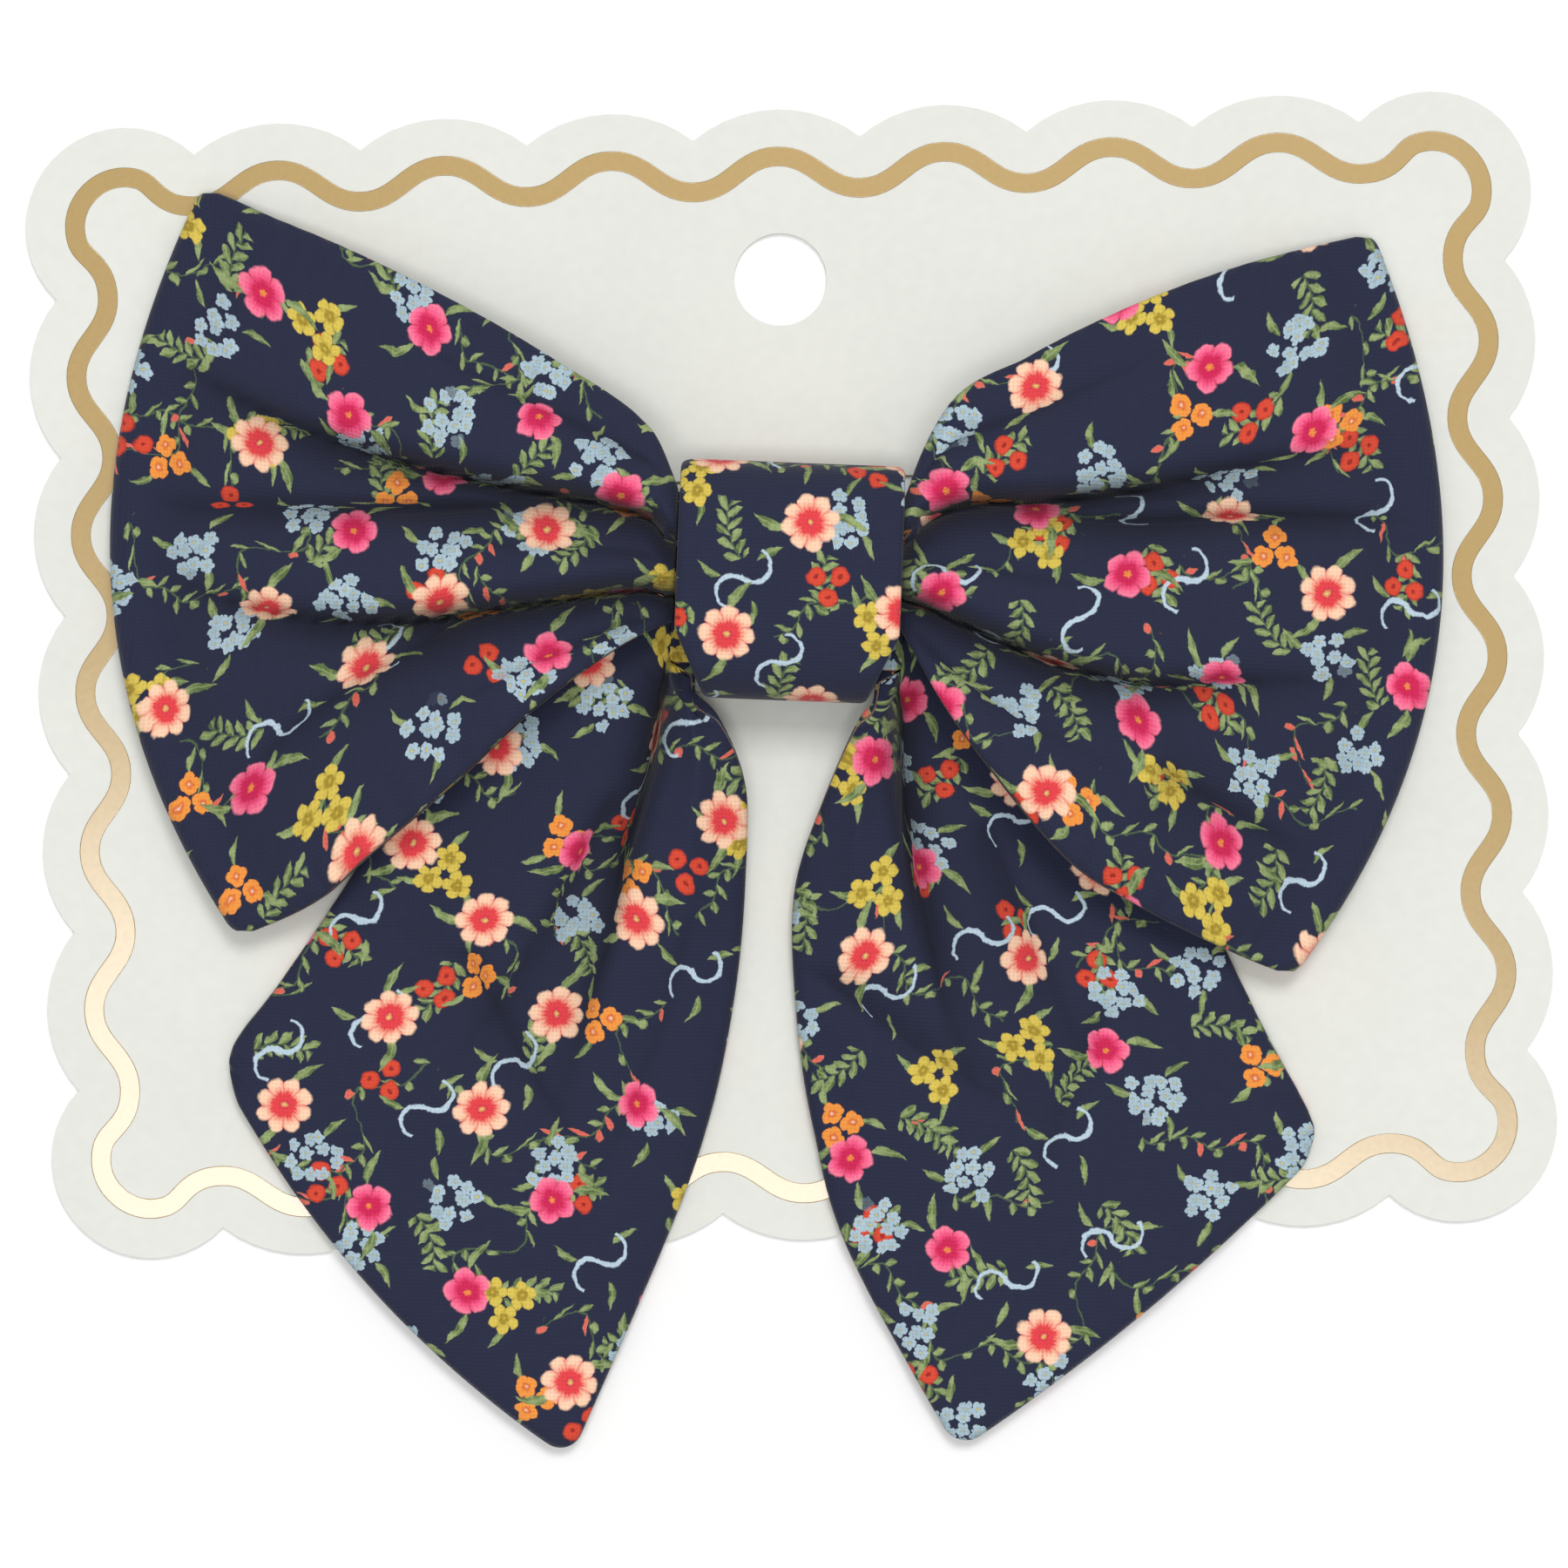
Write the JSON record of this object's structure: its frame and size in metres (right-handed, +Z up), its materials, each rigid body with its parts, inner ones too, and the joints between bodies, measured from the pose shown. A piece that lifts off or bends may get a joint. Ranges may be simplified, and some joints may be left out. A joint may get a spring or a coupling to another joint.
{
  "type": "pet bow tie on display card",
  "caption": "Slide-on sailor-style pet bow tie with pleated loops, two pointed tails and a wrapped knot, lying on a scalloped card with a hang hole.",
  "frame": {"origin": "middle of the underside of the whole part's box, on the surface that the card lies on", "axes": "+X along the bow, to the right as it is looked at; +Y from the tails to the hang hole; +Z up out of the card, towards the knot"},
  "size_m": [0.1296, 0.1152, 0.0158],
  "materials": {
    "floral_cloth": "plain-weave cotton, navy with a small multicoloured flower print",
    "elastic": "ribbed flat elastic, dark navy",
    "card_board": "smooth uncoated off-white paper board with a printed gold foil line"
  },
  "bodies": {
    "root": {"knot_band": "floral_cloth", "left_loop": "floral_cloth", "right_loop": "floral_cloth", "left_tail": "floral_cloth", "right_tail": "floral_cloth", "left_elastic": "elastic", "right_elastic": "elastic", "card": "card_board"}
  },
  "joints": []
}
